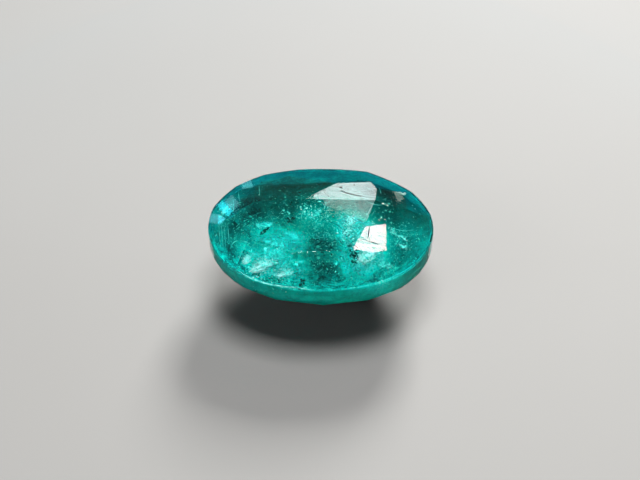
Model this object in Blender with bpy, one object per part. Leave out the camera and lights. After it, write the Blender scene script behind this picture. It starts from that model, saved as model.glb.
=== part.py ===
"""A loose emerald, cut as an oval and lying with its table up.

The stone is one solid. It is cut the way a lapidary cuts it: a rough block
is trimmed by one flat facet after another. All lengths below are in
millimetres and all angles in degrees; the finished mesh is in metres.

The stone stands on its culet, a small flat on its underside. The middle of
that flat is the origin, +X is the long way of the oval and +Z is up. The
facets are listed with heights measured from the top edge of the girdle, the
belt around the stone's widest part.
"""

import math

import bmesh
import bpy
from mathutils import Vector

MM = 0.001

# The outline of the girdle, seen from above
LENGTH = 9.0
WIDTH = 6.84
# The outline is a little squarer than an ellipse, by this share
SQUARENESS = 0.02
GIRDLE_SIDES = 64

# Heights of the flats, from the top edge of the girdle
TABLE_HEIGHT = 0.85
CULET_DEPTH = 3.1

# The wall under the girdle edge is thicker at the right end of the stone
WALL_LEAN = 0.02

# Crown facets that the cutter placed one by one, by azimuth, slope and
# reach. The azimuth is the way a facet faces, the slope is its tilt from
# level, and the reach is how far from the middle it meets the girdle level.
CROWN_FACETS = {
    "far right main": (88, 15.5, 3.815),
    "far left main": (95, 17.6, 3.506),
    "left shoulder": (130, 22.3, 4.234),
    "left shoulder low": (145, 28.5, 4.28),
    "left end": (176, 42, 4.54),
    "near left shoulder": (-148, 37, 4.27),
    "right shoulder": (38, 22.5, 4.191),
    "right main": (-16, 12.4, 5.755),
    "near right kite": (-22, 13.5, 5.45),
    "right end": (-14, 20.7, 4.45),
    "shoulder corner": (42, 25, 4.06),
    "far rim left": (100, 24, 3.39),
    "far rim middle": (90, 21.5, 3.27),
}

# Crown facets that start on the girdle, by turn around the oval, slope and
# height of their lower edge
RIM_FACETS = {
    "near middle": (-87, 33.5, 0.0),
    "near left": (-117, 33.5, 0.0),
    "near right": (-65, 33.5, 0.0),
    "near right corner": (-42, 30, 0.03),
    "far rim right": (68, 24, 0.05),
    "far left corner": (128, 28, 0.0),
    "far right corner": (46, 28, -0.08),
    "right corner": (24, 28, -0.08),
    "right tip": (2, 30, -0.03),
    "near right tip": (-20, 30, -0.03),
    "left corner": (150, 32, 0.0),
}

# Rows of like facets below the girdle, from the top row down: number of
# facets, turn of the first one, slope, height and share of the oval
PAVILION_ROWS = (
    (32, 5.625, 84, -0.30, 1.0),
    (32, 0.0, 66, -0.74, 0.988),
    (16, 11.25, 47, -0.92, 0.962),
    (12, 0.0, 38, -1.85, 0.72),
)

GREEN = (0.0, 0.33, 0.25, 1.0)


def oval_facet(turn, slope, height, share=1.0):
    """Plane that touches the oval outline at a turn angle."""
    angle = math.radians(turn)
    swell = share * (1 + SQUARENESS * math.sin(2 * angle) ** 2)
    x = swell * LENGTH / 2 * math.cos(angle)
    y = swell * WIDTH / 2 * math.sin(angle)
    out = Vector((WIDTH * math.cos(angle), LENGTH * math.sin(angle), 0.0))
    out.normalize()
    tilt = math.radians(slope)
    normal = out * math.sin(tilt) + Vector((0, 0, math.cos(tilt)))
    return Vector((x, y, height)), normal


def reach_facet(azimuth, slope, reach):
    """Plane set by where it faces, its tilt and its reach."""
    angle = math.radians(azimuth)
    tilt = math.radians(slope)
    out = Vector((math.cos(angle), math.sin(angle), 0.0))
    normal = out * math.sin(tilt) + Vector((0, 0, math.cos(tilt)))
    return out * reach, normal


def underside(point, normal):
    """The same plane turned to face down, for a pavilion facet."""
    return point, Vector((normal.x, normal.y, -normal.z))


def all_facets():
    """Every cutting plane of the stone, as a point and the way out."""
    up = Vector((0, 0, 1))
    facets = [(up * TABLE_HEIGHT, up), (-up * CULET_DEPTH, -up)]
    for values in CROWN_FACETS.values():
        facets.append(reach_facet(*values))
    for values in RIM_FACETS.values():
        facets.append(oval_facet(*values))
    for side in range(GIRDLE_SIDES):
        turn = 360 * (side + 0.5) / GIRDLE_SIDES
        facets.append(oval_facet(turn, 90, 0.0))
    for count, first, slope, height, share in PAVILION_ROWS:
        for step in range(count):
            turn = first + 360 * step / count
            point, normal = oval_facet(turn, slope, height, share)
            point.z -= WALL_LEAN * point.x
            facets.append(underside(point, normal))
    return facets


def cut(bm, point, normal):
    """Trim away all that lies beyond one plane and close the cut."""
    everything = bm.verts[:] + bm.edges[:] + bm.faces[:]
    result = bmesh.ops.bisect_plane(
        bm,
        geom=everything,
        dist=1e-5,
        plane_co=point,
        plane_no=normal,
        clear_outer=True,
    )
    edges = []
    for item in result["geom_cut"]:
        if isinstance(item, bmesh.types.BMEdge) and item.is_boundary:
            edges.append(item)
    if len(edges) > 2:
        bmesh.ops.edgeloop_fill(bm, edges=edges)


def cut_stone():
    """Cut the rough block into the finished stone, in metres."""
    bm = bmesh.new()
    bmesh.ops.create_cube(bm, size=1.5 * LENGTH)
    for point, normal in all_facets():
        cut(bm, point, normal)
    bmesh.ops.remove_doubles(bm, verts=bm.verts[:], dist=0.002)
    bmesh.ops.recalc_face_normals(bm, faces=bm.faces[:])
    bmesh.ops.translate(bm, verts=bm.verts[:], vec=(0, 0, CULET_DEPTH))
    bmesh.ops.scale(bm, verts=bm.verts[:], vec=(MM, MM, MM))
    return bm


def crystal_material():
    """Clear green crystal."""
    material = bpy.data.materials.new("emerald")
    material.use_nodes = True
    shader = material.node_tree.nodes["Principled BSDF"]
    shader.inputs["Base Color"].default_value = GREEN
    shader.inputs["Roughness"].default_value = 0.04
    shader.inputs["IOR"].default_value = 1.577
    shader.inputs["Transmission Weight"].default_value = 1.0
    return material


def main():
    for item in list(bpy.data.objects):
        bpy.data.objects.remove(item, do_unlink=True)
    bm = cut_stone()
    mesh = bpy.data.meshes.new("emerald")
    bm.to_mesh(mesh)
    bm.free()
    mesh.materials.append(crystal_material())
    stone = bpy.data.objects.new("emerald", mesh)
    bpy.context.scene.collection.objects.link(stone)


main()
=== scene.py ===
import math

import bmesh
import bpy
import numpy as np
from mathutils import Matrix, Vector


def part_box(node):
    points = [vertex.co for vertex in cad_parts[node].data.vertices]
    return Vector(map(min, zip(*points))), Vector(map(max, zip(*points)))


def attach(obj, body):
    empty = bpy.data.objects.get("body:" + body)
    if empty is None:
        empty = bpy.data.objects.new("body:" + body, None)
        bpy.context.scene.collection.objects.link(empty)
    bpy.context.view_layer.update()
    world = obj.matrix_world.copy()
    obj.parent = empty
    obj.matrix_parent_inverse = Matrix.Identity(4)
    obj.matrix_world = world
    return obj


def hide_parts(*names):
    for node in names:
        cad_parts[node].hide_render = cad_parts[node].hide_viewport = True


# A loose oval emerald on a pale floor, under soft studio lights. The frame
# gives the cut stone; this file gives the crystal its finish and fills it
# with the veils, flakes, tubes and dark grains that a natural emerald has.

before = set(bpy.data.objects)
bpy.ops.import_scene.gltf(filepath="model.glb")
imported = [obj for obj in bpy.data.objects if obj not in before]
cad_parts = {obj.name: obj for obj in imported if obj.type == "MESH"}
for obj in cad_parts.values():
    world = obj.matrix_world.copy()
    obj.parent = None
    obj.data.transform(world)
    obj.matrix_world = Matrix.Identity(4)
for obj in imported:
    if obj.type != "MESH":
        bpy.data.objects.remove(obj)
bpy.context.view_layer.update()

bl_info = {
    "name": "Emerald Looks",
    "version": (1, 0, 0),
    "blender": (4, 5, 0),
    "location": "3D View > Sidebar > Emerald",
    "description": "Finish, inclusions, lights and camera for a cut emerald",
    "category": "Object",
}

MM = 0.001
STONE = "emerald"
BODY = "root"

# The stone's own measures, from the frame, and how much it bends light
LOW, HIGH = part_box(STONE)
CROWN_HEIGHT = 0.85 * MM
GIRDLE_Z = HIGH.z - CROWN_HEIGHT
REFRACTION = 1.577

# The photo's frame, and where the middle of the girdle lies in it
FRAME_WIDTH = 640
FRAME_HEIGHT = 480
GIRDLE_PIXEL = (320.8, 227.3)
PIXELS_PER_MM = 25.0
CAMERA_DISTANCE = 80 * MM
CAMERA_TILT = 46.0
SENSOR = 36.0


class CrystalSettings(bpy.types.PropertyGroup):
    """The clear green body of the stone."""

    edge_wear: bpy.props.FloatProperty(
        name="Edge wear", description="Width of the worn strip along each facet edge",
        default=0.025 * MM, unit="LENGTH",
    )
    refraction: bpy.props.FloatProperty(
        name="Refraction", description="Index of refraction of emerald", default=REFRACTION,
    )
    roughness: bpy.props.FloatProperty(
        name="Roughness", description="Roughness of the polish", default=0.02, subtype="FACTOR",
    )
    groove_depth: bpy.props.FloatProperty(
        name="Groove depth", description="Depth of the deepest polishing lines",
        default=0.0012 * MM, unit="LENGTH",
    )
    depth_colour: bpy.props.FloatVectorProperty(
        name="Depth colour", description="Colour that the crystal lets through",
        default=(0.0, 0.93, 0.918), size=3, subtype="COLOR",
    )
    depth_density: bpy.props.FloatProperty(
        name="Depth density", description="How fast light is tinted inside, per metre",
        default=900.0,
    )


class InclusionSettings(bpy.types.PropertyGroup):
    """What grew inside the crystal."""

    seed: bpy.props.IntProperty(
        name="Seed", description="Number that fixes where the inclusions lie", default=11,
    )
    cloud_count: bpy.props.IntProperty(
        name="Cloud specks", description="How many pale specks make the clouds", default=5000,
    )
    cloud_size: bpy.props.FloatProperty(
        name="Speck size", description="Radius of a usual pale speck", default=0.022 * MM,
        unit="LENGTH",
    )
    cloud_colour: bpy.props.FloatVectorProperty(
        name="Speck colour", description="Colour of the pale specks", default=(0.04, 0.8, 0.68),
        size=3, subtype="COLOR",
    )
    flake_count: bpy.props.IntProperty(
        name="White flakes", description="How many small white flakes there are", default=420,
    )
    glint_count: bpy.props.IntProperty(
        name="Glints", description="How many mirror-like flakes there are", default=1100,
    )
    grain_count: bpy.props.IntProperty(
        name="Dark grains", description="How many dark grains there are", default=320,
    )
    wisp_count: bpy.props.IntProperty(
        name="Wisps", description="How many fine threads there are", default=260,
    )


class StageSettings(bpy.types.PropertyGroup):
    """Floor, lights and camera."""

    floor_colour: bpy.props.FloatVectorProperty(
        name="Floor colour", description="Pale colour of the floor", default=(0.095, 0.094, 0.091),
        size=3, subtype="COLOR",
    )
    sky_strength: bpy.props.FloatProperty(
        name="Sky strength", description="Brightness of the light from all around", default=0.06,
    )


def toward(azimuth, elevation):
    """Unit vector for a direction in degrees, azimuth from +X."""
    a = math.radians(azimuth)
    e = math.radians(elevation)
    return Vector((math.cos(a) * math.cos(e), math.sin(a) * math.cos(e), math.sin(e)))


def camera_place():
    """Where the camera stands, and its back, right and up directions."""
    back = toward(-90, CAMERA_TILT)
    right = Vector((1, 0, 0))
    up = back.cross(right)
    off_x = (GIRDLE_PIXEL[0] - FRAME_WIDTH / 2) / PIXELS_PER_MM * MM
    off_y = (FRAME_HEIGHT / 2 - GIRDLE_PIXEL[1]) / PIXELS_PER_MM * MM
    aim = Vector((0, 0, GIRDLE_Z)) - right * off_x - up * off_y
    return aim + back * CAMERA_DISTANCE, back, right, up


def unit(vectors):
    """Rows scaled to length one."""
    return vectors / np.linalg.norm(vectors, axis=-1, keepdims=True)


def rows_of(parts, name):
    """One place or direction for each part of a mesh, as rows."""
    values = np.zeros(len(parts) * 3)
    parts.foreach_get(name, values)
    return values.reshape(-1, 3)


def stone_planes():
    """Outward normals and offsets of the cut stone's facets."""
    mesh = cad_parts[STONE].data
    normals = rows_of(mesh.polygons, "normal")
    centres = rows_of(mesh.polygons, "center")
    planes = np.column_stack([normals, np.sum(normals * centres, axis=1) / MM])
    planes = np.unique(planes.round(4), axis=0)
    return unit(planes[:, :3]), planes[:, 3] * MM


NORMALS, OFFSETS = stone_planes()


def depth_inside(points):
    """Distance from each point to the nearest facet, positive inside."""
    return np.min(OFFSETS - points @ NORMALS.T, axis=-1)


def bent_rays(places):
    """Sight lines to places on the picture, bent as they enter the stone.

    A place is across and up in millimetres from the girdle's middle. The
    stone is convex, so a line enters at the last plane that faces it. By
    Snell's law it goes on along r d + (r c - sqrt(1 - r r (1 - c c))) n,
    with r one over the refraction, d its direction, n the facet's normal
    and c the cosine between them. Gives the entry, the facet's normal, the
    direction inside and the distance to the far skin.
    """
    eye, _, right, up = (np.array(vector) for vector in camera_place())
    places = np.asarray(places, dtype=float).reshape(-1, 2) * MM
    seen = np.outer(places[:, 0], right) + np.outer(places[:, 1], up)
    ways = unit(seen + (0, 0, GIRDLE_Z) - eye)
    facing = ways @ NORMALS.T
    distance = (OFFSETS - NORMALS @ eye) / facing
    first = np.argmax(np.where(facing < 0, distance, -np.inf), axis=1)
    entry = eye + ways * distance[np.arange(len(ways)), first][:, None]
    normal = NORMALS[first]
    cosine = -np.sum(normal * ways, axis=1, keepdims=True)
    ratio = 1 / REFRACTION
    bend = ratio * cosine - np.sqrt(1 - ratio**2 * (1 - cosine**2))
    inside = ratio * ways + bend * normal
    facing = inside @ NORMALS.T
    room = (OFFSETS - entry @ NORMALS.T) / np.where(facing > 1e-6, facing, 1)
    leave = np.min(np.where(facing > 1e-6, room, np.inf), axis=1)
    return entry, normal, inside, leave


# Share of a sight line's way through the stone that a depth can't pass
DEEPEST = 0.93


def in_stone(places, depths):
    """Points a depth in millimetres down the bent sight lines."""
    entry, _, inside, leave = bent_rays(places)
    reach = np.minimum(np.asarray(depths) * MM, leave * DEEPEST)
    return entry + inside * reach[:, None]


# Painted light and shade of the inside, where it is bright and dark: picture
# place across and up, spread in millimetres, and how much it adds
PAINTED_GLOW_PATCHES = (
    (-2.55, -1.65, 0.5, 0.65), (-1.7, -1.6, 0.55, 0.6), (-1.7, -0.6, 0.6, 0.25),
    (-0.9, -2.0, 0.35, 0.2), (1.15, 0.05, 0.5, 0.85), (1.5, -0.7, 0.35, 0.3),
    (1.9, -1.4, 0.5, 0.9), (2.9, -1.5, 0.55, -0.12), (-0.3, 0.4, 0.45, 0.25),
    (-2.6, 0.05, 0.35, 0.3), (-3.9, 0.6, 0.55, 0.1), (0.2, -1.5, 0.55, -0.26),
    (0.7, -0.7, 0.3, -0.15), (-1.8, 1.2, 0.7, -0.08), (-3.4, 0.0, 0.45, -0.42),
    (-3.7, -0.9, 0.5, -0.27), (-3.3, -1.4, 0.35, -0.1), (3.0, 0.8, 0.8, -0.2),
    (2.2, 1.9, 0.8, -0.18), (0.2, 2.3, 0.8, -0.3), (-1.8, 2.0, 0.8, -0.15),
)
# Painted light: how much the zone brightens where it shows through the near wall
PAINTED_WALL_GLOW = (
    (0.0, -2.55, 1.0, 0.12), (2.4, -2.2, 0.9, 0.42), (-2.5, -2.1, 1.0, 0.16),
)
# Base level of the painted light and shade
PAINTED_GLOW_LEVEL = 0.38


def painted_glow_at(points):
    """Brightness of the inside at each point, as a sum of soft patches.

    A patch is a bell curve of the distance to where its sight line
    reaches the far side of the stone, or the near wall. The far crown is
    painted darker over its last part below the girdle.
    """
    patches = np.array(PAINTED_GLOW_PATCHES + PAINTED_WALL_GLOW)
    depths = np.repeat((99.0, 0.2), (len(PAINTED_GLOW_PATCHES), len(PAINTED_WALL_GLOW)))
    middles = in_stone(patches[:, :2], depths)
    away = np.linalg.norm(points[:, None] - middles, axis=2) / (patches[:, 2] * MM)
    total = PAINTED_GLOW_LEVEL + np.exp(-(away**2) / 2) @ patches[:, 3]
    crown = np.clip((points[:, 2] - GIRDLE_Z) / (0.3 * MM) + 1, 0, 1)
    crown = crown * np.clip(points[:, 1] / MM + 0.5, 0, 1)
    return np.clip(total, 0, 1.2) * (1 - 0.85 * crown)


# Materials


def new_material(name):
    """Empty material with its output node."""
    material = bpy.data.materials.new(name)
    material.use_nodes = True
    tree = material.node_tree
    tree.nodes.clear()
    output = tree.nodes.new("ShaderNodeOutputMaterial")
    return material, tree, output


def add_node(tree, kind, **values):
    """Node with its settings and plain input values."""
    node = tree.nodes.new(kind)
    for key, value in values.items():
        name = key.replace("_", " ")
        if name in node.inputs:
            node.inputs[name].default_value = value
        else:
            setattr(node, key, value)
    return node


def object_place(tree, scale=1000, turn=(0, 0, 0)):
    """Object coordinates in millimetres or at another scale, turned."""
    place = tree.nodes.new("ShaderNodeTexCoord")
    scales = (scale, scale, scale) if isinstance(scale, int) else scale
    mapping = add_node(tree, "ShaderNodeMapping", Scale=scales, Rotation=turn)
    tree.links.new(place.outputs["Object"], mapping.inputs["Vector"])
    return mapping.outputs["Vector"]


def noise(tree, place, scale, detail=3.0, roughness=0.6, twist=0.0):
    """Cloudy pattern around one half, twisted into swirls if asked."""
    node = add_node(
        tree, "ShaderNodeTexNoise", Scale=scale, Detail=detail, Roughness=roughness, Distortion=twist,
    )
    tree.links.new(place, node.inputs["Vector"])
    return node.outputs["Fac"]


def stored(tree, name):
    """A value stored on the mesh."""
    return add_node(tree, "ShaderNodeAttribute", attribute_name=name).outputs["Fac"]


def math_node(tree, operation, *values):
    """Arithmetic on sockets and plain numbers."""
    node = add_node(tree, "ShaderNodeMath", operation=operation)
    for place, value in enumerate(values):
        if isinstance(value, (int, float)):
            node.inputs[place].default_value = value
        else:
            tree.links.new(value, node.inputs[place])
    return node.outputs["Value"]


def remap(tree, value, low, high, to_low=0.0, to_high=1.0):
    """Value stretched from one range to another and held inside it."""
    node = add_node(
        tree, "ShaderNodeMapRange", From_Min=low, From_Max=high, To_Min=to_low, To_Max=to_high,
    )
    tree.links.new(value, node.inputs["Value"])
    return node.outputs["Result"]


def colours(tree, value, stops):
    """Colour picked by a value between stops of place and colour."""
    node = tree.nodes.new("ShaderNodeValToRGB")
    elements = node.color_ramp.elements
    for place, colour in stops[1:-1]:
        elements.new(place)
    for element, (place, colour) in zip(elements, stops):
        element.position = place
        element.color = (*colour, 1)
    tree.links.new(value, node.inputs["Fac"])
    return node.outputs["Color"]


def finish_surface(tree, output, links, **values):
    """Surface shader with its linked sockets and its plain values."""
    shader = add_node(tree, "ShaderNodeBsdfPrincipled", **values)
    for name, socket in links.items():
        tree.links.new(socket, shader.inputs[name])
    tree.links.new(shader.outputs["BSDF"], output.inputs["Surface"])
    return shader


def crystal_material(settings):
    """Clear green crystal with polishing lines on its facets.

    A line is a shallow groove where a pattern drawn out along the stone
    crosses one half. The value polish of each facet says how deep.
    """
    material, tree, output = new_material("emerald crystal")
    drawn = object_place(tree, (500, 13000, 500), (0, 0, math.radians(7)))
    lines = math_node(tree, "ABSOLUTE", math_node(tree, "SUBTRACT", noise(tree, drawn, 1.0), 0.5))
    grooves = remap(tree, lines, 0.0, 0.03)
    patches = noise(tree, object_place(tree), 7.0, 4.0)
    height = math_node(tree, "MULTIPLY_ADD", patches, 0.35, grooves)
    bump = add_node(tree, "ShaderNodeBump", Distance=settings.groove_depth)
    tree.links.new(height, bump.inputs["Height"])
    tree.links.new(stored(tree, "polish"), bump.inputs["Strength"])
    finish_surface(
        tree, output, {"Normal": bump.outputs["Normal"]}, Base_Color=(1.0, 1.0, 1.0, 1.0),
        Roughness=settings.roughness, IOR=settings.refraction, Transmission_Weight=1.0,
    )
    inside = add_node(
        tree, "ShaderNodeVolumeAbsorption", Color=(*settings.depth_colour, 1.0),
        Density=settings.depth_density,
    )
    tree.links.new(inside.outputs["Volume"], output.inputs["Volume"])
    return material


def floor_material(settings):
    """Matte pale floor with a very faint mottle."""
    material, tree, output = new_material("pale floor")
    pale = np.array(settings.floor_colour)
    mottle = noise(tree, object_place(tree, 60), 1.0)
    colour = colours(tree, mottle, ((0, pale * 0.96), (1, pale * 1.04)))
    finish_surface(tree, output, {"Base Color": colour}, Roughness=0.75)
    return material


def milky_material():
    """Cloudy growth zone: green, streaked and mottled, brighter with painted light where its stored
    glow is high.
    """
    material, tree, output = new_material("milky zone")
    place = object_place(tree)
    drawn = object_place(tree, (2600, 2600, 700), (0.5, 0.3, 0.2))
    swirls = noise(tree, place, 1.7, 7.0, 0.72, 1.5)
    total = math_node(tree, "MULTIPLY_ADD", swirls, 1.9, -1.8)
    total = math_node(tree, "MULTIPLY_ADD", noise(tree, drawn, 1.0, 4.0), 0.8, total)
    total = math_node(tree, "MULTIPLY_ADD", noise(tree, place, 13.0), 0.9, total)
    # The stored glow is painted light and shade, not a lamp
    glow = stored(tree, "glow")
    # Fine flecks, painted as sparkle only where the painted glow is high
    flecks = remap(tree, noise(tree, place, 15.0, 2.0), 0.52, 0.6)
    lit = remap(tree, glow, 0.6, 1.0)
    total = math_node(tree, "MULTIPLY_ADD", math_node(tree, "MULTIPLY", flecks, lit), 0.6, total)
    total = math_node(tree, "MULTIPLY_ADD", total, stored(tree, "mottle"), glow)
    total = math_node(tree, "MULTIPLY", total, 0.77)
    colour = colours(
        tree,
        total,
        (
            (0.0, (0.0, 0.06, 0.065)), (0.23, (0.0, 0.26, 0.25)), (0.43, (0.0, 0.55, 0.5)),
            (0.63, (0.01, 0.92, 0.81)), (0.8, (0.25, 1.0, 0.96)), (1.0, (0.7, 1.0, 1.0)),
        ),
    )
    bump = add_node(tree, "ShaderNodeBump", Distance=0.06 * MM, Strength=0.7)
    tree.links.new(swirls, bump.inputs["Height"])
    links = {"Base Color": colour, "Normal": bump.outputs["Normal"]}
    links["Alpha"] = remap(tree, noise(tree, place, 5.0), 0.34, 0.42, 0.8, 1.0)
    finish_surface(
        tree, output, links, Roughness=0.6, Specular_IOR_Level=0.0, Subsurface_Weight=1.0,
        Subsurface_Radius=(0.2, 1.0, 0.9), Subsurface_Scale=0.12 * MM,
    )
    return material


def veil_material(name, dark, pale, scale, cover, soft, rough, metal):
    """Patchy film that spreads light, broken up towards the veil's rim."""
    material, tree, output = new_material(name)
    place = object_place(tree)
    blots = noise(tree, place, scale, 6.0, 0.7)
    flecks = noise(tree, place, scale * 4, 2.0)
    colour = colours(tree, blots, ((0.38, dark), (0.6, pale)))
    holes = math_node(tree, "MULTIPLY_ADD", blots, 2.0, flecks)
    holes = math_node(tree, "MULTIPLY_ADD", stored(tree, "fade"), 0.9, holes)
    alpha = remap(tree, holes, 2.15 - cover, 2.15 - cover + soft, 0.0, 0.95)
    links = {"Base Color": colour, "Alpha": alpha}
    finish_surface(tree, output, links, Specular_IOR_Level=0.1, Roughness=rough, Metallic=metal)
    return material


# Looks of grains, threads and marks: two colours, how fine they mix, then
# roughness, specular level and metal
GRAIN_LOOKS = {
    "white flakes": ((0.2, 1.0, 0.92), (0.85, 1.0, 1.0), 5.0, 0.6, 0.1, 0.0),
    "glints": ((0.02, 0.75, 0.7), (0.2, 1.0, 0.95), 4.0, 0.35, 0.5, 1.0),
    "dark grains": ((0.0, 0.03, 0.03), (0.0, 0.14, 0.13), 9.0, 0.6, 0.0, 0.0),
    "pale threads": ((0.0, 0.45, 0.42), (0.12, 0.95, 0.88), 6.0, 0.5, 0.1, 0.0),
    "dark cracks": ((0.0, 0.02, 0.02), (0.0, 0.1, 0.09), 9.0, 0.6, 0.0, 0.0),
    # Scratches and chips: near black, painted shade for marks that show dark against the facets'
    # reflections
    "painted scratch shade": ((0.0, 0.004, 0.004), (0.01, 0.02, 0.02), 30.0, 0.8, 0.0, 0.0),
    # Frosted rim and edges: pale, partly frosting and partly painted highlight
    "frost and painted highlight": ((0.02, 0.26, 0.24), (0.28, 0.8, 0.75), 7.0, 0.8, 0.0, 0.0),
}


def grain_material(name, look=None):
    """Opaque grains or threads of two mixed colours, by name or as given."""
    dark, pale, scale, rough, specular, metal = look or GRAIN_LOOKS[name]
    material, tree, output = new_material(name)
    mix = noise(tree, object_place(tree), scale, 2.0)
    colour = colours(tree, mix, ((0.35, dark), (0.65, pale)))
    values = {"Roughness": rough, "Specular_IOR_Level": specular, "Metallic": metal}
    finish_surface(tree, output, {"Base Color": colour}, **values)
    return material


# Meshes


def inclusions(context, step):
    """Settings of the inclusions, and the random draws of one operator."""
    settings = context.scene.emerald_inclusions
    return settings, np.random.default_rng(settings.seed + step)


def link_piece(mesh, material, smooth=True):
    """Object named like its mesh, at the origin, that rides on the stone."""
    mesh.materials.clear()
    mesh.materials.append(material)
    mesh.polygons.foreach_set("use_smooth", [smooth] * len(mesh.polygons))
    mesh.update()
    piece = bpy.data.objects.new(mesh.name, mesh)
    bpy.context.scene.collection.objects.link(piece)
    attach(piece, BODY)
    return piece


# Facets with plain polishing lines: azimuth, slope and depth of the lines
LINED_FACETS = ((-22, 13.5, 0.3), (88, 15.5, 0.12), (42, 25, 0.3), (0, 0, 0.03))


class EMERALD_OT_crystal(bpy.types.Operator):
    """Give the cut stone its worn facet edges and its clear green body"""

    bl_idname = "emerald.crystal"
    bl_label = "Crystal"

    def execute(self, context):
        settings = context.scene.emerald_crystal
        bm = bmesh.new()
        bm.from_mesh(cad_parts[STONE].data)
        bmesh.ops.remove_doubles(bm, verts=bm.verts[:], dist=0.0005 * MM)
        bmesh.ops.dissolve_limit(
            bm, angle_limit=math.radians(0.3), verts=bm.verts[:], edges=bm.edges[:],
        )
        bmesh.ops.recalc_face_normals(bm, faces=bm.faces[:])
        mesh = bpy.data.meshes.new("crystal")
        bm.to_mesh(mesh)
        bm.free()
        self.store_polish(mesh)
        material = crystal_material(settings)
        crystal = link_piece(mesh, material, smooth=False)
        wear = crystal.modifiers.new("worn edges", "BEVEL")
        wear.width = settings.edge_wear
        wear.segments = 2
        wear.limit_method = "ANGLE"
        wear.angle_limit = math.radians(2)
        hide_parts(STONE)
        return {"FINISHED"}

    def store_polish(self, mesh):
        """Write to each facet how deep its polishing lines are."""
        normals = rows_of(mesh.polygons, "normal")
        depth = np.full(len(normals), 0.05)
        for azimuth, slope, lines in LINED_FACETS:
            match = normals @ np.array(toward(azimuth, 90 - slope))
            depth[match > math.cos(math.radians(1.0))] = lines
        polish = mesh.attributes.new("polish", "FLOAT", "FACE")
        polish.data.foreach_set("value", depth)


def grid_faces(rows, columns):
    """Corner numbers of the quads of a grid, joined round its columns."""
    row = np.arange(rows - 1)[:, None]
    column = np.arange(columns)[None, :]
    beside = (column + 1) % columns
    corners = [
        row * columns + column, row * columns + beside, (row + 1) * columns + beside,
        (row + 1) * columns + column,
    ]
    return np.stack(corners, axis=-1).reshape(-1, 4)


def rings_mesh(name, rings, tips):
    """Closed skins, each of rings from a first tip to a last tip.

    rings holds a point for every skin, ring and column, and tips the two
    ends of every skin. Neighbour rings are joined by quads and the end
    rings to their tips by triangles.
    """
    count, rows, columns = rings.shape[:3]
    size = rows * columns + 2
    quads = grid_faces(rows, columns)
    here = np.arange(columns)
    beside = (here + 1) % columns
    first = np.stack([0 * here + size - 2, beside, here], axis=1)
    last_row = (rows - 1) * columns
    last = np.stack([last_row + here, last_row + beside, 0 * here + size - 1], axis=1)
    fans = np.concatenate([first, last])
    start = np.arange(count)[:, None, None] * size
    points = np.concatenate([rings.reshape(count, -1, 3), tips], axis=1).reshape(-1, 3)
    faces = (quads[None] + start).reshape(-1, 4).tolist()
    faces += (fans[None] + start).reshape(-1, 3).tolist()
    mesh = bpy.data.meshes.new(name)
    mesh.from_pydata(points.tolist(), [], faces)
    return mesh


def store_value(mesh, name, values):
    """Write one number for each point to the mesh."""
    layer = mesh.attributes.new(name, "FLOAT", "POINT")
    layer.data.foreach_set("value", values)


def lump_mesh(name, centres, sizes, normals, rng, rows=1, columns=6, rough=0.3, draw=1.0):
    """Many small uneven lumps or flakes in one mesh.

    A lump is a ball whose points are pushed in and out at random, drawn
    to its own two sizes: one across and one along its normal. It is also
    drawn out one way across.
    """
    count = len(centres)
    first = unit(np.cross(normals, unit(rng.normal(size=(count, 3)))))
    second = np.cross(normals, first)
    rise = np.linspace(-np.pi / 2, np.pi / 2, rows + 2)[1:-1][:, None, None]
    turn = np.linspace(0, 2 * np.pi, columns, endpoint=False)[None, :, None]
    push = rng.uniform(1 - rough, 1 + rough, size=(count, rows, columns, 1))
    wide = sizes[:, 0, None, None, None] * push * np.cos(rise)
    tall = sizes[:, 1, None, None, None] * push * np.sin(rise)
    rings = (
        centres[:, None, None]
        + wide * np.cos(turn) * draw * first[:, None, None]
        + wide * np.sin(turn) * second[:, None, None]
        + tall * normals[:, None, None]
    )
    top = sizes[:, 1, None] * normals
    tips = np.stack([centres - top, centres + top], axis=1)
    return rings_mesh(name, rings, tips)


def tube_mesh(name, paths, radii, rng, columns=6, taper=0.5, rough=0.0):
    """Many thin tubes with pointed ends in one mesh.

    Each follows its path. Its radius grows from nothing over the taper, a
    share of the length, and shrinks again at the other end. The skin is
    pushed in and out at random by the share rough.
    """
    count, steps = paths.shape[:2]
    along = unit(np.gradient(paths, axis=1))
    side = np.cross(along.mean(axis=1), rng.normal(size=(count, 3)))[:, None]
    side = unit(side - along * np.sum(side * along, axis=2, keepdims=True))
    other = np.cross(along, side)
    share = np.linspace(0, 1, steps)[1:-1]
    swell = np.sqrt(np.clip(np.minimum(share, 1 - share) / taper, 0, 1))
    radius = (radii[:, None] * swell)[..., None, None]
    if rough:
        radius = radius * rng.uniform(1 - rough, 1 + rough, size=(count, steps - 2, columns, 1))
    turn = np.linspace(0, 2 * np.pi, columns, endpoint=False)[None, None, :, None]
    rings = (
        paths[:, 1:-1, None]
        + radius * np.cos(turn) * side[:, 1:-1, None]
        + radius * np.sin(turn) * other[:, 1:-1, None]
    )
    return rings_mesh(name, rings, paths[:, [0, -1]])


def curve_through(points, steps):
    """Smooth line through a few points: one polynomial of the way along."""
    points = np.array(points, dtype=float)
    ways = np.linspace(0, 1, len(points))
    fit = np.polyfit(ways, points, len(points) - 1)
    return np.vander(np.linspace(0, 1, steps), len(points)) @ fit


def ripples(first, second, rng, waves, low, high):
    """Smooth uneven pattern of about zero to one: a sum of sine waves."""
    total = np.zeros(np.broadcast(first, second).shape)
    for _ in range(waves):
        along, across = rng.integers(low, high, size=2)
        phase = rng.uniform(0, 2 * np.pi, size=2)
        total += np.sin(along * first + phase[0]) * np.cos(across * second + phase[1])
    return 0.5 + 0.5 * total / waves


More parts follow.
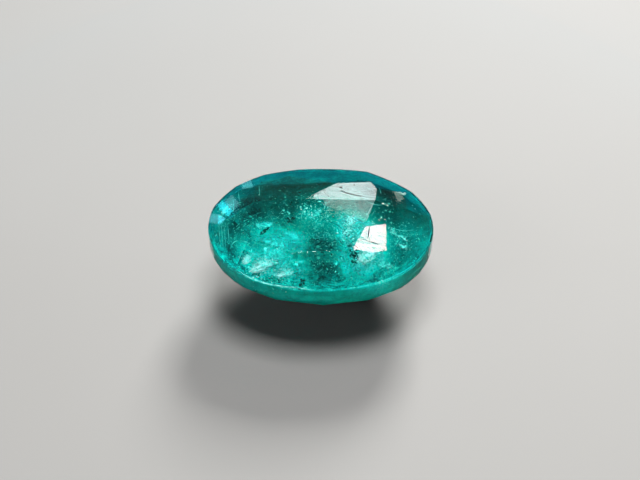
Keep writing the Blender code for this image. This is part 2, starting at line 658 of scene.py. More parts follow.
def reach_to_skin(turn, height, gap):
    """Distance from the stone's axis to its skin, less a gap.

    At each turn and height it is the least distance at which a ray that
    leaves the axis level meets a facet's plane.
    """
    ways = np.stack([np.cos(turn), np.sin(turn), np.zeros_like(turn)], axis=-1)
    facing = ways @ NORMALS.T
    room = OFFSETS - gap[..., None] - height[..., None] * NORMALS[:, 2]
    distance = np.where(facing > 1e-3, room / np.maximum(facing, 1e-3), np.inf)
    return distance.min(axis=-1)


ZONE_ROWS = 110
ZONE_COLUMNS = 260
ZONE_THICKNESS = 0.03 * MM


class EMERALD_OT_milky(bpy.types.Operator):
    """Line the pavilion with the cloudy growth zone, its green painted brighter where light gathers
    """

    bl_idname = "emerald.milky"
    bl_label = "Milky zone"

    def execute(self, context):
        _, rng = inclusions(context, 2)
        mesh = self.zone_mesh(rng, ZONE_ROWS, ZONE_COLUMNS)
        points = rows_of(mesh.vertices, "co")
        # Store the painted light and shade as glow
        store_value(mesh, "glow", painted_glow_at(points))
        inner = np.arange(len(points)) >= ZONE_ROWS * ZONE_COLUMNS
        near = np.clip(0.5 - points[:, 1] / (2 * MM), 0, 1)
        right = np.clip(points[:, 0] / MM - 1.6, 0, 1)
        mottle = (0.35 + 0.95 * near) * (1 - 0.45 * right)
        store_value(mesh, "mottle", np.where(inner, mottle, 0.3))
        link_piece(mesh, milky_material())
        return {"FINISHED"}

    def zone_mesh(self, rng, rows, columns):
        """A thin closed bowl that follows the pavilion inside the stone.

        Its outer side runs from the bottom up: the radius is the reach to
        the stone's skin less an uneven gap, and shrinks to nothing over
        the bottom. It climbs higher at the far side. The inner side is
        the same surface, closer in, back down to the bottom.
        """
        share = np.linspace(0, 1, rows + 1)[1:, None]
        turn = np.linspace(0, 2 * np.pi, columns, endpoint=False)[None, :]
        far = np.clip(np.sin(turn) * 1.4, 0, 1)
        top = GIRDLE_Z + (-0.12 + 0.5 * far) * MM
        low = 0.16 * MM
        height = low + (top - low) * np.clip((share - 0.2) / 0.8, 0, 1)
        below = np.clip((GIRDLE_Z - height) / (0.5 * MM), 0, 1)
        gap = (0.06 + (0.03 + 0.26 * ripples(turn, 6 * share, rng, 8, 1, 7)) * below) * MM
        reach = reach_to_skin(turn + 0 * share, height, gap)
        opening = np.clip(share / 0.2, 0, 1)
        sides = []
        for inset in (0.0, ZONE_THICKNESS):
            radius = (reach - inset) * opening
            level = height + inset
            sides.append(np.stack([radius * np.cos(turn), radius * np.sin(turn), level], axis=-1))
        rings = np.concatenate([sides[0], sides[1][::-1]])[None]
        tips = np.array([[(0, 0, low), (0, 0, low + ZONE_THICKNESS)]])
        return rings_mesh("milky_zone", rings, tips)


# Bright veils: picture place across and up, depth, half length and half
# width in millimetres, turn, lean to the camera and lean sideways in degrees
BRIGHT_VEILS = (
    (-2.3, -1.55, 0.55, 0.75, 0.42, 15, 20, -10),
    (-1.5, -1.75, 0.7, 0.8, 0.38, 0, 25, 5),
    (-2.9, -1.2, 0.8, 0.5, 0.3, 30, 15, -20),
    (-1.9, -1.0, 1.2, 0.8, 0.4, -20, 10, 0),
    (1.3, -0.2, 0.8, 0.6, 0.42, 70, 5, 20),
    (1.6, -0.8, 0.9, 0.5, 0.35, 50, 5, 10),
    (1.8, -1.35, 0.6, 0.75, 0.45, 40, 20, 15),
    (2.5, -1.45, 0.55, 0.55, 0.32, -20, 25, 10),
    (-2.2, 0.1, 1.3, 0.6, 0.32, 10, 10, 0),
    (-0.2, 0.55, 1.00, 0.6, 0.22, 60, -10, 10),
    (-1.2, -0.4, 1.6, 1.00, 0.5, -15, 5, 5),
    (-3.8, 0.7, 0.45, 0.55, 0.26, 60, 0, -15),
)
# Whitish veils near the skin, listed the same way
PALE_VEILS = (
    (3.2, -0.35, 0.45, 0.85, 0.42, -25, 0, 15),
    (2.9, -0.15, 0.7, 0.55, 0.25, -40, 0, 10),
    (3.3, -0.75, 0.6, 0.5, 0.25, -10, 0, 10),
    (-2.8, 1.75, 0.4, 0.4, 0.16, 30, 0, 0),
)
# White spots that lean a little to the camera and so shine
WHITE_VEILS = (
    (-2.53, -1.72, 0.16, 0.4, 0.14, 8, 18, 4),
    (-2.3, -1.5, 0.35, 0.6, 0.3, 15, 14, 4),
    (-1.45, -1.85, 0.3, 0.45, 0.18, 20, 16, 4),
    (-2.95, -1.3, 0.35, 0.3, 0.2, 60, 0, 4),
    (1.85, -1.15, 0.35, 0.5, 0.3, 30, 12, 4),
    (1.2, 0.25, 0.5, 0.34, 0.2, 75, 5, 0),
    (1.05, -0.15, 0.6, 0.3, 0.16, 60, 0, 5),
)
# Each piece's veils and its look: two colours, how fine they mix, how much
# it covers, how soft its holes are, roughness and metal
VEILS = {
    "bright_veils": (
        BRIGHT_VEILS, "bright veil", (0, 0.45, 0.42), (0.3, 1, 0.97), 5.0, 0.2, 0.25, 0.5, 0.0
    ),
    "pale_veils": (
        PALE_VEILS, "pale veil", (0, 0.5, 0.47), (0.3, 1, 0.95), 3.0, 0.0, 0.25, 0.5, 0.0
    ),
    "white_spots": (
        WHITE_VEILS, "white spots", (0.3, 1, 0.95), (0.95, 1, 1), 12.0, 0.33, 0.04, 0.5, 0.55
    ),
}


def veil_frames(veils):
    """Two unit vectors along each veil and its normal, from three angles."""
    spin, lean, side = np.radians(veils[:, 5:8].T)
    normal = unit(np.stack([np.sin(side), -np.sin(lean), np.ones_like(side)], axis=1))
    along = np.stack([np.cos(spin), np.sin(spin), np.zeros_like(spin)], axis=1)
    along = unit(along - normal * np.sum(along * normal, axis=1, keepdims=True))
    return along, np.cross(normal, along), normal


def veil_mesh(name, veils, rng, steps=18, columns=56):
    """Wavy closed lenses, one for each veil.

    A veil's middle surface is an oval disc with an uneven rim, lifted by
    sine waves. Its two faces part by a thickness that falls to nothing at
    the rim. A veil with no room shrinks until it fits into the stone. The
    value fade falls from one at the middle to zero at the rim.
    """
    veils = np.array(veils, dtype=float)
    count = len(veils)
    out = np.linspace(0, 1, steps + 1)[1:]
    share = np.concatenate([out, out[-2::-1]])[None, :, None]
    side = np.concatenate([-np.ones(steps), np.ones(steps - 1)])[None, :, None]
    turn = np.linspace(0, 2 * np.pi, columns, endpoint=False)[None, None, :]
    start = np.arange(count)[:, None, None] * 1.7
    rim = 0.75 + 0.5 * ripples(turn + start, start, rng, 5, 2, 7)
    lift = (ripples(turn + start, 5 * share + start, rng, 6, 1, 5) - 0.5) * share
    lift = 0.5 * lift + side * 0.012 * (1 - share**2)
    middles = in_stone(veils[:, :2], veils[:, 2])
    along, over, normal = (axis[:, None, None] for axis in veil_frames(veils))
    long, wide = (veils[:, k, None, None] for k in (3, 4))
    u = (long * share * rim * np.cos(turn))[..., None]
    v = (wide * share * rim * np.sin(turn))[..., None]
    shape = (u * along + v * over + lift[..., None] * normal) * MM
    scale = np.ones((count, 1, 1, 1))
    for _ in range(60):
        rings = middles[:, None, None] + scale * shape
        tight = depth_inside(rings).min(axis=(1, 2)) < 0.02 * MM
        scale[tight] *= 0.95
    if tight.any():
        raise RuntimeError(f"{name}: no room for veils {np.flatnonzero(tight)}")
    thick = scale[:, 0, 0] * normal[:, 0, 0] * 0.012 * MM
    tips = np.stack([middles - thick, middles + thick], axis=1)
    mesh = rings_mesh(name, rings, tips)
    fade = np.broadcast_to(1 - share, (count, 2 * steps - 1, columns))
    fade = np.concatenate([fade.reshape(count, -1), np.ones((count, 2))], axis=1)
    store_value(mesh, "fade", fade.ravel())
    return mesh


class EMERALD_OT_veils(bpy.types.Operator):
    """Add the bright patchy veils where the stone lights up"""

    bl_idname = "emerald.veils"
    bl_label = "Veils"

    def execute(self, context):
        _, rng = inclusions(context, 3)
        for name, (veils, *look) in VEILS.items():
            mesh = veil_mesh(name, veils, rng)
            link_piece(mesh, veil_material(*look))
        return {"FINISHED"}


# Pale clouds: picture place across and up, depth, spread and weight
CLOUDS = (
    (-2.2, -1.6, 0.6, 0.5, 1.6), (-1.4, -1.7, 0.7, 0.4, 0.8), (1.3, -0.3, 1.0, 0.5, 1.3),
    (1.6, -1.1, 0.8, 0.5, 1.2), (2.3, -1.4, 0.6, 0.45, 0.8), (-2.2, 0.0, 1.3, 0.5, 0.6),
    (-0.3, 0.4, 1.2, 0.4, 0.9), (3.2, -0.4, 0.6, 0.45, 0.6), (-3.8, 0.6, 0.5, 0.35, 0.6),
    (0.3, 0.2, 1.8, 0.9, 0.8), (-1.4, -0.5, 1.8, 0.9, 0.8),
)
# White flakes near the skin, listed the same way
WHITE_FLAKES = (
    (-2.5, -1.68, 0.28, 0.2, 2.0), (-1.55, -1.85, 0.35, 0.2, 1.3),
    (-2.15, -1.4, 0.4, 0.25, 1.2), (-1.7, -1.00, 0.5, 0.3, 0.5),
    (1.15, 0.15, 0.4, 0.25, 1.6), (1.15, -0.35, 0.5, 0.2, 0.8),
    (1.75, -1.3, 0.4, 0.28, 1.6), (-0.55, 0.55, 0.5, 0.2, 0.7),
)
# Bands of mirror-like flakes, listed the same way
GLINT_BANDS = (
    (-0.3, 0.6, 0.7, 0.35, 0.7), (0.4, 0.1, 0.9, 0.45, 1.2), (1.2, 0.1, 0.7, 0.3, 1.6),
    (1.2, -0.4, 0.7, 0.35, 1.0), (1.7, -1.3, 0.5, 0.35, 1.3), (-1.0, 0.7, 0.6, 0.4, 0.3),
    (-1.5, -1.8, 0.4, 0.35, 1.3), (-2.4, -1.65, 0.35, 0.3, 2.4), (-2.2, -1.1, 0.5, 0.35, 0.8),
    (0.8, -0.9, 1.0, 0.5, 0.8), (-3.9, 0.8, 0.3, 0.25, 0.3),
)
# Bright bubbles near the skin: picture places
BUBBLES = (
    (3.67, 0.87), (3.77, 0.74), (-2.47, 1.3), (-2.32, -0.2), (-0.08, -0.23), (0.43, -0.45),
    (0.91, -1.14),
)
# Dark grains, listed the same way
DARK_PATCHES = (
    (-1.27, 0.26, 0.7, 0.07, 0.8), (-1.1, 0.35, 0.8, 0.05, 0.4), (1.25, -0.72, 0.8, 0.13, 1.2),
    (1.4, -1.22, 0.7, 0.12, 1.0), (-0.75, -2.2, 0.4, 0.1, 0.6), (0.3, -0.9, 1.4, 0.45, 0.8),
    (0.1, 1.3, 0.7, 0.25, 0.3), (-0.9, 1.1, 0.7, 0.25, 0.3),
)
LARGEST_FLAKE = 0.035 * MM


def flake_sizes(rng, amount, radius, spread, largest, flat):
    """Random radii up to the largest, each with a thickness that is its share."""
    wide = np.minimum(radius * rng.lognormal(sigma=spread, size=amount), largest)
    return np.stack([wide, wide * flat], axis=1)


def scattered(count, rng, patches, even_share, margin):
    """Places inside the stone: even everywhere, and thicker in patches.

    Each patch is a normal spread around its middle.
    """
    patches = np.array(patches)
    even = rng.uniform(LOW, HIGH, size=(int(count * even_share * 2), 3))
    weights = patches[:, 4] / patches[:, 4].sum()
    which = rng.choice(len(patches), size=int(count * (1 - even_share)), p=weights)
    middles = in_stone(patches[:, :2], patches[:, 2])[which]
    near = middles + rng.normal(size=middles.shape) * patches[which, 3, None] * MM
    points = np.concatenate([even, near])
    return points[depth_inside(points) > margin]


class EMERALD_OT_clouds(bpy.types.Operator):
    """Fill the stone with pale specks, thicker in its clouds, and white flakes"""

    bl_idname = "emerald.clouds"
    bl_label = "Clouds"

    def execute(self, context):
        settings, rng = inclusions(context, 0)
        points = scattered(settings.cloud_count, rng, CLOUDS, 0.12, 0.08 * MM)
        sizes = flake_sizes(rng, len(points), settings.cloud_size, 0.45, 0.07 * MM, 0.35)
        normals = unit(rng.normal(size=(len(points), 3)))
        mesh = lump_mesh("pale_specks", points, sizes, normals, rng)
        pale = np.array(settings.cloud_colour)
        look = grain_material("pale specks", (pale * 0.7, pale, 2.0, 0.6, 0.1, 0.0))
        link_piece(mesh, look)
        points = scattered(settings.flake_count, rng, WHITE_FLAKES, 0.0, 0.04 * MM)
        sizes = flake_sizes(rng, len(points), 0.018 * MM, 0.4, LARGEST_FLAKE, 0.3)
        normals = unit(rng.normal(scale=0.25, size=(len(points), 3)) + (0, -0.1, 1))
        mesh = lump_mesh("white_flakes", points, sizes, normals, rng, rough=0.5, draw=1.8)
        link_piece(mesh, grain_material("white flakes"))
        return {"FINISHED"}


class EMERALD_OT_glints(bpy.types.Operator):
    """Add the mirror-like flakes that sparkle, and the bright bubbles"""

    bl_idname = "emerald.glints"
    bl_label = "Glints"

    def execute(self, context):
        settings, rng = inclusions(context, 1)
        points = scattered(settings.glint_count, rng, GLINT_BANDS, 0.03, 0.06 * MM)
        amount = len(points)
        sizes = flake_sizes(rng, amount, 0.013 * MM, 0.5, LARGEST_FLAKE, 0.15)
        near = np.clip(-points[:, 1:2] / MM - 1.0, 0, 1)
        lean = rng.normal(scale=0.2, size=(amount, 3))
        normals = unit(lean + (0.05, -0.06, 1.0) + near * (-0.1, -0.3, 0.0))
        mesh = lump_mesh("glints", points, sizes, normals, rng, rough=0.5, draw=2.0)
        look = grain_material("glints")
        link_piece(mesh, look, smooth=False)
        centres = in_stone(BUBBLES, np.full(len(BUBBLES), 0.12))
        sizes = np.full((len(BUBBLES), 2), 0.03 * MM)
        upward = np.tile((0.0, 0.0, 1.0), (len(BUBBLES), 1))
        mesh = lump_mesh("bubbles", centres, sizes, upward, rng, 9, 14, 0.02)
        link_piece(mesh, look)
        return {"FINISHED"}


class EMERALD_OT_grains(bpy.types.Operator):
    """Add the dark grains and the dark long crystal"""

    bl_idname = "emerald.grains"
    bl_label = "Dark grains"

    def execute(self, context):
        settings, rng = inclusions(context, 4)
        points = scattered(settings.grain_count, rng, DARK_PATCHES, 0.06, 0.06 * MM)
        amount = len(points)
        wide = 0.02 * MM * rng.lognormal(sigma=0.5, size=amount)
        sizes = np.stack([wide, wide * rng.uniform(0.4, 1.4, size=amount)], axis=1)
        normals = unit(rng.normal(size=(amount, 3)))
        mesh = lump_mesh("dark_grains", points, sizes, normals, rng, 3, 7)
        look = grain_material("dark grains")
        link_piece(mesh, look)
        places = ((-2.44, -0.31), (-2.06, 0.02))
        path = curve_through(in_stone(places, (0.55, 0.6)), 14)[None]
        mesh = tube_mesh("dark_crystal", path, np.array([0.065 * MM]), rng, 8, 0.25, 0.4)
        link_piece(mesh, look)
        return {"FINISHED"}


# Growth tubes: picture places of both ends, depth and radius
GROWTH_TUBES = (
    (-2.47, 1.69, -2.45, 1.27, 0.25, 0.016),
    (-4.1, 0.05, -4.02, -0.75, 0.18, 0.014),
    (-3.98, 0.1, -3.9, -0.85, 0.2, 0.018),
    (-3.86, 0.02, -3.8, -0.8, 0.2, 0.012),
    (-3.72, 0.1, -3.66, -0.7, 0.25, 0.014),
    (-3.95, 0.9, -3.9, 0.45, 0.15, 0.012),
    (-3.75, 1.00, -3.72, 0.55, 0.2, 0.014),
    (-3.5, 1.1, -3.48, 0.62, 0.25, 0.012),
    (-3.3, 1.45, -3.26, 1.00, 0.3, 0.01),
)
# Edges of healed cracks: three picture places each, depth and radius
CRACK_EDGES = (
    ((-3.62, -0.88), (-3.5, -0.62), (-3.25, -0.53), 0.14, 0.024),
    ((-3.25, -0.53), (-3.03, -0.57), (-2.8, -0.68), 0.18, 0.011),
    ((-1.46, -0.2), (-1.2, -0.25), (-1.00, -0.54), 0.6, 0.014),
    ((-1.46, -1.28), (-1.22, -1.18), (-1.28, -1.48), 0.4, 0.022),
    ((-2.75, -0.35), (-2.3, -0.55), (-1.8, -0.45), 0.6, 0.01),
    ((0.35, 0.85), (0.2, 0.45), (0.45, 0.1), 0.7, 0.013),
    ((-0.78, 0.28), (-0.72, 0.62), (-0.48, 0.92), 0.6, 0.022),
    ((-0.62, 0.2), (-0.52, 0.5), (-0.4, 0.7), 0.7, 0.014),
    ((2.6, -0.1), (3.00, -0.3), (3.6, -0.35), 0.35, 0.013),
    ((2.75, 0.05), (3.2, -0.12), (3.75, -0.1), 0.35, 0.013),
    ((1.75, 1.1), (2.2, 0.9), (2.7, 0.95), 0.3, 0.013),
)
# Dark cracks in the bright part, listed the same way
DARK_CRACKS = (
    ((0.43, 0.49), (0.52, 0.4), (0.6, 0.35), 0.5, 0.018),
    ((0.28, 0.25), (0.67, 0.09), (0.83, -0.07), 0.5, 0.018),
    ((1.45, 0.32), (1.58, 0.28), (1.69, 0.22), 0.35, 0.02),
    ((0.97, 0.25), (1.01, 0.23), (1.06, 0.22), 0.4, 0.022),
    ((0.67, -0.42), (0.8, -0.58), (0.89, -0.71), 0.5, 0.02),
    ((0.95, -0.15), (1.1, -0.3), (1.18, -0.5), 0.5, 0.012),
    ((1.3, -0.95), (1.45, -1.1), (1.52, -1.3), 0.5, 0.018),
)
CRACK_STEPS = 26


class EMERALD_OT_threads(bpy.types.Operator):
    """Add the growth tubes, the cracks and the fine wisps"""

    bl_idname = "emerald.threads"
    bl_label = "Threads"

    def execute(self, context):
        settings, rng = inclusions(context, 5)
        pale = grain_material("pale threads")
        tubes = np.array(GROWTH_TUBES)
        ends = [in_stone(tubes[:, k : k + 2], tubes[:, 4]) for k in (0, 2)]
        share = np.linspace(0, 1, 24)[None, :, None]
        paths = ends[0][:, None] * (1 - share) + ends[1][:, None] * share
        mesh = tube_mesh("growth_tubes", paths, tubes[:, 5] * MM, rng)
        link_piece(mesh, pale)
        link_piece(self.crack_mesh("crack_edges", CRACK_EDGES, rng), pale)
        dark = grain_material("dark cracks")
        link_piece(self.crack_mesh("dark_cracks", DARK_CRACKS, rng), dark)
        link_piece(self.wisp_mesh(settings.wisp_count, rng), pale)
        return {"FINISHED"}

    def crack_mesh(self, name, edges, rng):
        """Thin tubes, each along the curve through its three places."""
        places = np.array([curve_through(edge[:3], CRACK_STEPS) for edge in edges])
        depths = np.repeat([edge[3] for edge in edges], CRACK_STEPS)
        paths = in_stone(places, depths).reshape(-1, CRACK_STEPS, 3)
        radii = np.array([edge[4] for edge in edges]) * MM
        return tube_mesh(name, paths, radii, rng)

    def wisp_mesh(self, count, rng):
        """Short threads, each bent like a shallow bow in its own plane."""
        starts = scattered(count, rng, CLOUDS, 0.3, 0.25 * MM)
        amount = len(starts)
        way = unit(rng.normal(size=(amount, 3)) * (1, 1, 0.4))[:, None]
        bow = unit(np.cross(way[:, 0], rng.normal(size=(amount, 3))))[:, None]
        length = rng.uniform(0.15, 0.55, size=(amount, 1, 1)) * MM
        bend = rng.uniform(0.05, 0.3, size=(amount, 1, 1))
        share = np.linspace(-0.5, 0.5, 12)[None, :, None]
        paths = starts[:, None] + length * (share * way + bend * share**2 * bow)
        paths = paths[depth_inside(paths).min(axis=1) > 0.03 * MM]
        radii = rng.uniform(0.004, 0.01, size=len(paths)) * MM
        return tube_mesh("wisps", paths, radii, rng, 5)


# Marks on the skin: picture places that each line runs through, and radius
SKIN_MARKS = (
    ((0.76, 1.5), (0.96, 1.4), (1.35, 1.285), (1.69, 1.235), 0.02),
    ((1.95, 0.06), (1.93, -0.13), (1.91, -0.3), (1.9, -0.42), 0.03),
    ((1.9, -0.42), (2.02, -0.53), (2.12, -0.62), (2.5, -0.65), 0.022),
    ((1.99, -0.13), (2.17, -0.17), (2.35, -0.21), (2.5, -0.24), 0.013),
    ((2.02, -0.27), (2.2, -0.3), (2.36, -0.33), (2.51, -0.37), 0.014),
    ((1.58, -0.5), (1.85, -0.53), (2.2, -0.66), (2.5, -0.69), 0.014),
    ((1.59, -0.78), (1.8, -0.79), (2.00, -0.82), (2.2, -0.85), 0.011),
    ((0.12, 1.36), (0.25, 1.3), (0.32, 1.24), (0.42, 1.22), 0.014),
)
# Facet edges drawn pale, partly frosting and partly a painted highlight where they catch the light,
# listed the same way
FROSTED_AND_HIGHLIT_EDGES = (
    ((2.15, 1.08), (2.03, 0.85), (1.92, 0.62), (1.8, 0.4), 0.011),
    ((0.6, 1.09), (1.1, 1.09), (1.6, 1.09), (2.1, 1.09), 0.008),
)
# Chips on the crown's edges: picture place and size
CHIPS = (
    (0.81, 1.6, 0.075), (1.34, 1.7, 0.045), (1.48, 1.86, 0.06), (1.63, 1.845, 0.055),
    (1.78, 1.84, 0.06), (1.93, 1.835, 0.05), (2.04, 1.82, 0.045),
)
# Worn part of the rim, drawn pale as wear and as a painted highlight along the girdle's edge: turns
# in degrees where it starts and ends, radius
RIM_WEAR_AND_HIGHLIGHT = (218, 266, 0.017)
MARK_STEPS = 30


def rim_path(turn):
    """Upper edge of the girdle at each turn about the stone's axis.

    The edge lies as far out as the nearest upright plane of the girdle,
    and as high there as the lowest crown plane.
    """
    ways = np.stack([np.cos(turn), np.sin(turn), np.zeros_like(turn)], axis=-1)
    facing = ways @ NORMALS.T
    upright = (np.abs(NORMALS[:, 2]) < 0.05) & (facing > 1e-3)
    out = np.where(upright, OFFSETS / np.maximum(facing, 1e-3), np.inf).min(axis=-1)
    edge = ways * out[:, None]
    crown = NORMALS[:, 2] > 0.05
    heights = (OFFSETS - edge @ NORMALS.T)[:, crown] / NORMALS[crown, 2]
    edge[:, 2] = heights.min(axis=-1)
    return edge


class EMERALD_OT_marks(bpy.types.Operator):
    """Add the scratches and chips, dark with painted shade, and the worn rim and frosted edges, pale
    partly with painted highlight
    """

    bl_idname = "emerald.marks"
    bl_label = "Surface marks"

    def execute(self, context):
        _, rng = inclusions(context, 6)
        # Near-black colour: painted shade where the scratches and chips break the facets' reflections
        scratch_shade = grain_material("painted scratch shade")
        link_piece(self.mark_mesh("scratches", SKIN_MARKS, rng), scratch_shade)
        chips = np.array(CHIPS)
        centres, normals, _, _ = bent_rays(chips[:, :2])
        sizes = chips[:, 2, None] * np.array([[1.0, 0.3]]) * MM
        mesh = lump_mesh("chips", centres - normals * 0.004 * MM, sizes, normals, rng, 3, 8)
        link_piece(mesh, scratch_shade)
        start, end, radius = RIM_WEAR_AND_HIGHLIGHT
        path = rim_path(np.radians(np.linspace(start, end, 70)))[None]
        mesh = tube_mesh("rim_wear_and_highlight", path, np.array([radius * MM]), rng, 6)
        frost_and_highlight = grain_material("frost and painted highlight")
        link_piece(mesh, frost_and_highlight)
        link_piece(self.mark_mesh("frosted_and_highlit_edges", FROSTED_AND_HIGHLIT_EDGES, rng), frost_and_highlight)
        return {"FINISHED"}

    def mark_mesh(self, name, marks, rng):
        """Thin tubes half sunk into the skin, each through its four places.

        On the table they are sunk whole, so that none stands above it.
        """
        places = np.array([curve_through(mark[:4], MARK_STEPS) for mark in marks])
        paths = bent_rays(places)[0].reshape(-1, MARK_STEPS, 3)
        radii = np.array([mark[4] for mark in marks]) * MM
        highest = HIGH.z - 1.02 * radii[:, None]
        paths[..., 2] = np.minimum(paths[..., 2], highest)
        return tube_mesh(name, paths, radii, rng, 5)


# Stage


def soft_card(name, target, direction, distance, size, radiance, colour):
    """Rectangular light of a given radiance that faces the target."""
    light = bpy.data.lights.new(name, "AREA")
    light.shape = "RECTANGLE"
    light.size = size[0]
    light.size_y = size[1]
    light.energy = radiance * math.pi * size[0] * size[1]
    light.color = colour
    card = bpy.data.objects.new(name, light)
    card.location = Vector(target) + direction * distance
    card.rotation_euler = direction.to_track_quat("Z", "Y").to_euler()
    card.visible_camera = False
    bpy.context.scene.collection.objects.link(card)
    return card


# Large soft lights: azimuth, elevation, half angle in degrees, radiance
# and colour. They stand clear of what the crown mirrors to the camera.
SOFT_LIGHTS = {
    "back light": (73, 30, 9, 120.0, (1.0, 0.99, 0.96)),
    "top light": (70, 80, 13, 38.0, (1.0, 1.0, 1.0)),
    "left light": (205, 22, 12, 5.0, (0.93, 0.98, 1.0)),
    "front light": (-140, 28, 9, 6.0, (1.0, 1.0, 1.0)),
}
SOFT_DISTANCE = 0.25

# Cards that facets mirror to the camera: picture place across and up, width
# and height on the picture, roll in degrees, distance (all lengths in
# millimetres), radiance and colour
MIRROR_CARDS = {
    "kite card": (2.1, -0.35, 3.5, 3.6, 0, 100, 23, (1.0, 0.6, 0.62)),
    "far main card": (1.0, 1.5, 2.54, 3.0, 0, 100, 7, (0.84, 1.0, 1.0)),
    "table card": (1.25, 1.0, 2.1, 1.0, -20, 100, 4.2, (0.75, 1.0, 0.95)),
    "corner card": (3.13, 1.4, 0.62, 0.45, -25, 13, 2.9, (1.0, 1.0, 0.9)),
    "corner low card": (3.1, 1.3, 0.5, 0.26, -30, 13, 1.9, (0.8, 1.0, 0.88)),
    "left low card": (-3.88, 0.82, 0.31, 0.75, 0, 13, 4.0, (0.04, 0.85, 1.0)),
    "left end card": (-3.9, 0.28, 0.35, 0.4, 0, 13, 3.6, (0.04, 0.85, 1.0)),
    "left pale card": (-3.53, 0.98, 0.4, 0.5, 0, 13, 1.4, (0.3, 0.85, 1.0)),
    "left strip card": (-4.25, 0.35, 0.35, 0.8, 0, 13, 2.2, (0.25, 0.85, 1.0)),
    "shoulder card": (-2.92, 1.62, 0.42, 0.45, 0, 13, 1.1, (0.25, 0.9, 1.0)),
}


def arc_card(name, turns, steps, radii, heights, material):
    """Sheet between two arcs round the stone, each with its radius and height.

    Both run between two turns in degrees. It is out of the camera's sight
    and casts no shadow.
    """
    turn = np.radians(np.linspace(*turns, steps))
    radius, height = (np.array(pair)[:, None] * MM for pair in (radii, heights))
    across = radius * np.cos(turn)
    points = np.stack([across, radius * np.sin(turn), height + 0 * across], axis=-1)
    mesh = bpy.data.meshes.new(name)
    faces = grid_faces(2, steps).tolist()[:-1]
    mesh.from_pydata(points.reshape(-1, 3).tolist(), [], faces)
    mesh.materials.append(material)
    card = bpy.data.objects.new(name, mesh)
    card.visible_camera = False
    card.visible_shadow = False
    bpy.context.scene.collection.objects.link(card)
    return card


def mirror_card(name, values):
    """Card whose image shows in the facet at a place on the picture.

    The sight line is turned about the facet's normal, as a mirror does. A
    card grows with its distance to keep the size of its image.
    """
    across, up, wide, tall, roll, distance, radiance, tint = values
    spot, normal, _, _ = bent_rays((across, up))
    eye = camera_place()[0]
    spot = Vector(spot[0])
    normal = Vector(normal[0])
    sight = (eye - spot).normalized()
    way = normal * (2 * normal.dot(sight)) - sight
    grown = (1 + distance * MM / CAMERA_DISTANCE) * MM
    size = (wide * grown, tall * grown)
    card = soft_card(name, spot, way, distance * MM, size, radiance, tint)
    card.rotation_euler.rotate_axis("Z", math.radians(roll))


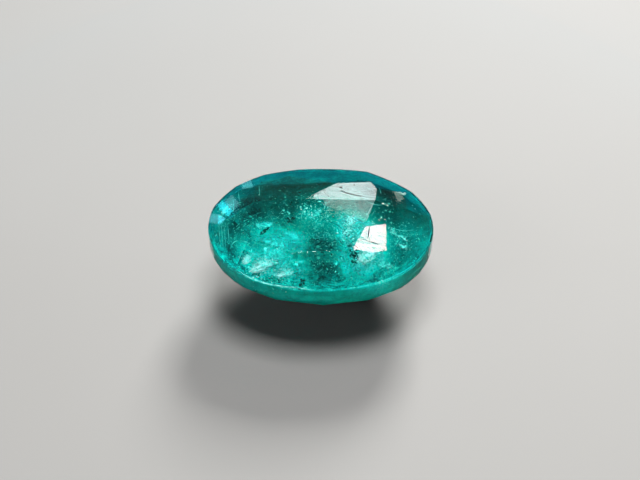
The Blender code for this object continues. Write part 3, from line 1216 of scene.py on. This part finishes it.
class EMERALD_OT_stage(bpy.types.Operator):
    """Set up the pale floor, the soft lights and the camera"""

    bl_idname = "emerald.stage"
    bl_label = "Stage"

    def execute(self, context):
        settings = context.scene.emerald_stage
        self.make_floor(settings)
        self.make_backdrop()
        self.make_dark_card()
        self.make_lights(settings)
        self.make_camera()
        return {"FINISHED"}

    def make_floor(self, settings):
        """Flat floor under the culet."""
        half = 0.5
        mesh = bpy.data.meshes.new("floor")
        corners = [(-half, -half, 0), (half, -half, 0), (half, half, 0), (-half, half, 0)]
        mesh.from_pydata(corners, [], [(0, 1, 2, 3)])
        mesh.materials.append(floor_material(settings))
        floor = bpy.data.objects.new("floor", mesh)
        bpy.context.scene.collection.objects.link(floor)

    def make_backdrop(self):
        """Low blue card behind the stone, which its far rim mirrors."""
        material, tree, output = new_material("blue card")
        glow = add_node(tree, "ShaderNodeEmission", Color=(0.04, 0.55, 0.85, 1), Strength=0.42)
        tree.links.new(glow.outputs["Emission"], output.inputs["Surface"])
        arc_card("blue_card", (35, 150), 40, (20, 20), (0.05, 5.5), material)

    def make_dark_card(self):
        """Dark flag low in front of the stone, which its near wall mirrors."""
        material, tree, output = new_material("dark card")
        finish_surface(tree, output, {}, Base_Color=(0.004, 0.008, 0.007, 1), Roughness=0.9)
        card = arc_card("dark_card", (170, 370), 60, (1.5, 16), (0.03, 0.03), material)
        card.visible_diffuse = False
        card.visible_transmission = False

    def make_lights(self, settings):
        """Even pale surroundings, the large soft lights and the cards."""
        world = bpy.data.worlds.new("studio")
        bpy.context.scene.world = world
        world.use_nodes = True
        sky = world.node_tree.nodes["Background"]
        sky.inputs["Color"].default_value = (0.95, 0.98, 1.0, 1)
        sky.inputs["Strength"].default_value = settings.sky_strength
        bpy.context.scene.view_settings.view_transform = "Standard"
        middle = Vector((0, 0, GIRDLE_Z))
        for name, (azimuth, elevation, half, radiance, tint) in SOFT_LIGHTS.items():
            side = 2 * SOFT_DISTANCE * math.tan(math.radians(half))
            way = toward(azimuth, elevation)
            soft_card(name, middle, way, SOFT_DISTANCE, (side, side), radiance, tint)
        for name, values in MIRROR_CARDS.items():
            mirror_card(name, values)

    def make_camera(self):
        """Camera at the photo's angle, with the stone where it was."""
        data = bpy.data.cameras.new("camera")
        data.sensor_width = SENSOR
        wide = FRAME_WIDTH / PIXELS_PER_MM * MM
        data.lens = SENSOR * CAMERA_DISTANCE / wide
        data.clip_start = 0.005
        data.clip_end = 5.0
        camera = bpy.data.objects.new("camera", data)
        camera.location, back, _, _ = camera_place()
        camera.rotation_euler = back.to_track_quat("Z", "Y").to_euler()
        bpy.context.scene.collection.objects.link(camera)
        bpy.context.scene.camera = camera


class EMERALD_PT_panel(bpy.types.Panel):
    """Buttons for each part of the look"""

    bl_idname = "EMERALD_PT_panel"
    bl_label = "Emerald"
    bl_space_type = "VIEW_3D"
    bl_region_type = "UI"
    bl_category = "Emerald"

    def draw(self, context):
        layout = self.layout
        for group in SETTINGS:
            settings = getattr(context.scene, group)
            for name in SETTINGS[group].__annotations__:
                layout.prop(settings, name)
        for step in STEPS:
            layout.operator(step.bl_idname)


STEPS = (
    EMERALD_OT_crystal,
    EMERALD_OT_milky,
    EMERALD_OT_veils,
    EMERALD_OT_clouds,
    EMERALD_OT_glints,
    EMERALD_OT_grains,
    EMERALD_OT_threads,
    EMERALD_OT_marks,
    EMERALD_OT_stage,
)
SETTINGS = {
    "emerald_crystal": CrystalSettings,
    "emerald_inclusions": InclusionSettings,
    "emerald_stage": StageSettings,
}


def register():
    for name, group in SETTINGS.items():
        bpy.utils.register_class(group)
        setattr(bpy.types.Scene, name, bpy.props.PointerProperty(type=group))
    for step in STEPS:
        bpy.utils.register_class(step)
    bpy.utils.register_class(EMERALD_PT_panel)


def unregister():
    bpy.utils.unregister_class(EMERALD_PT_panel)
    for step in reversed(STEPS):
        bpy.utils.unregister_class(step)
    for name, group in SETTINGS.items():
        delattr(bpy.types.Scene, name)
        bpy.utils.unregister_class(group)


def main():
    register()
    bpy.ops.emerald.crystal()
    bpy.ops.emerald.milky()
    bpy.ops.emerald.veils()
    bpy.ops.emerald.clouds()
    bpy.ops.emerald.glints()
    bpy.ops.emerald.grains()
    bpy.ops.emerald.threads()
    bpy.ops.emerald.marks()
    bpy.ops.emerald.stage()


if __name__ == "__main__":
    main()
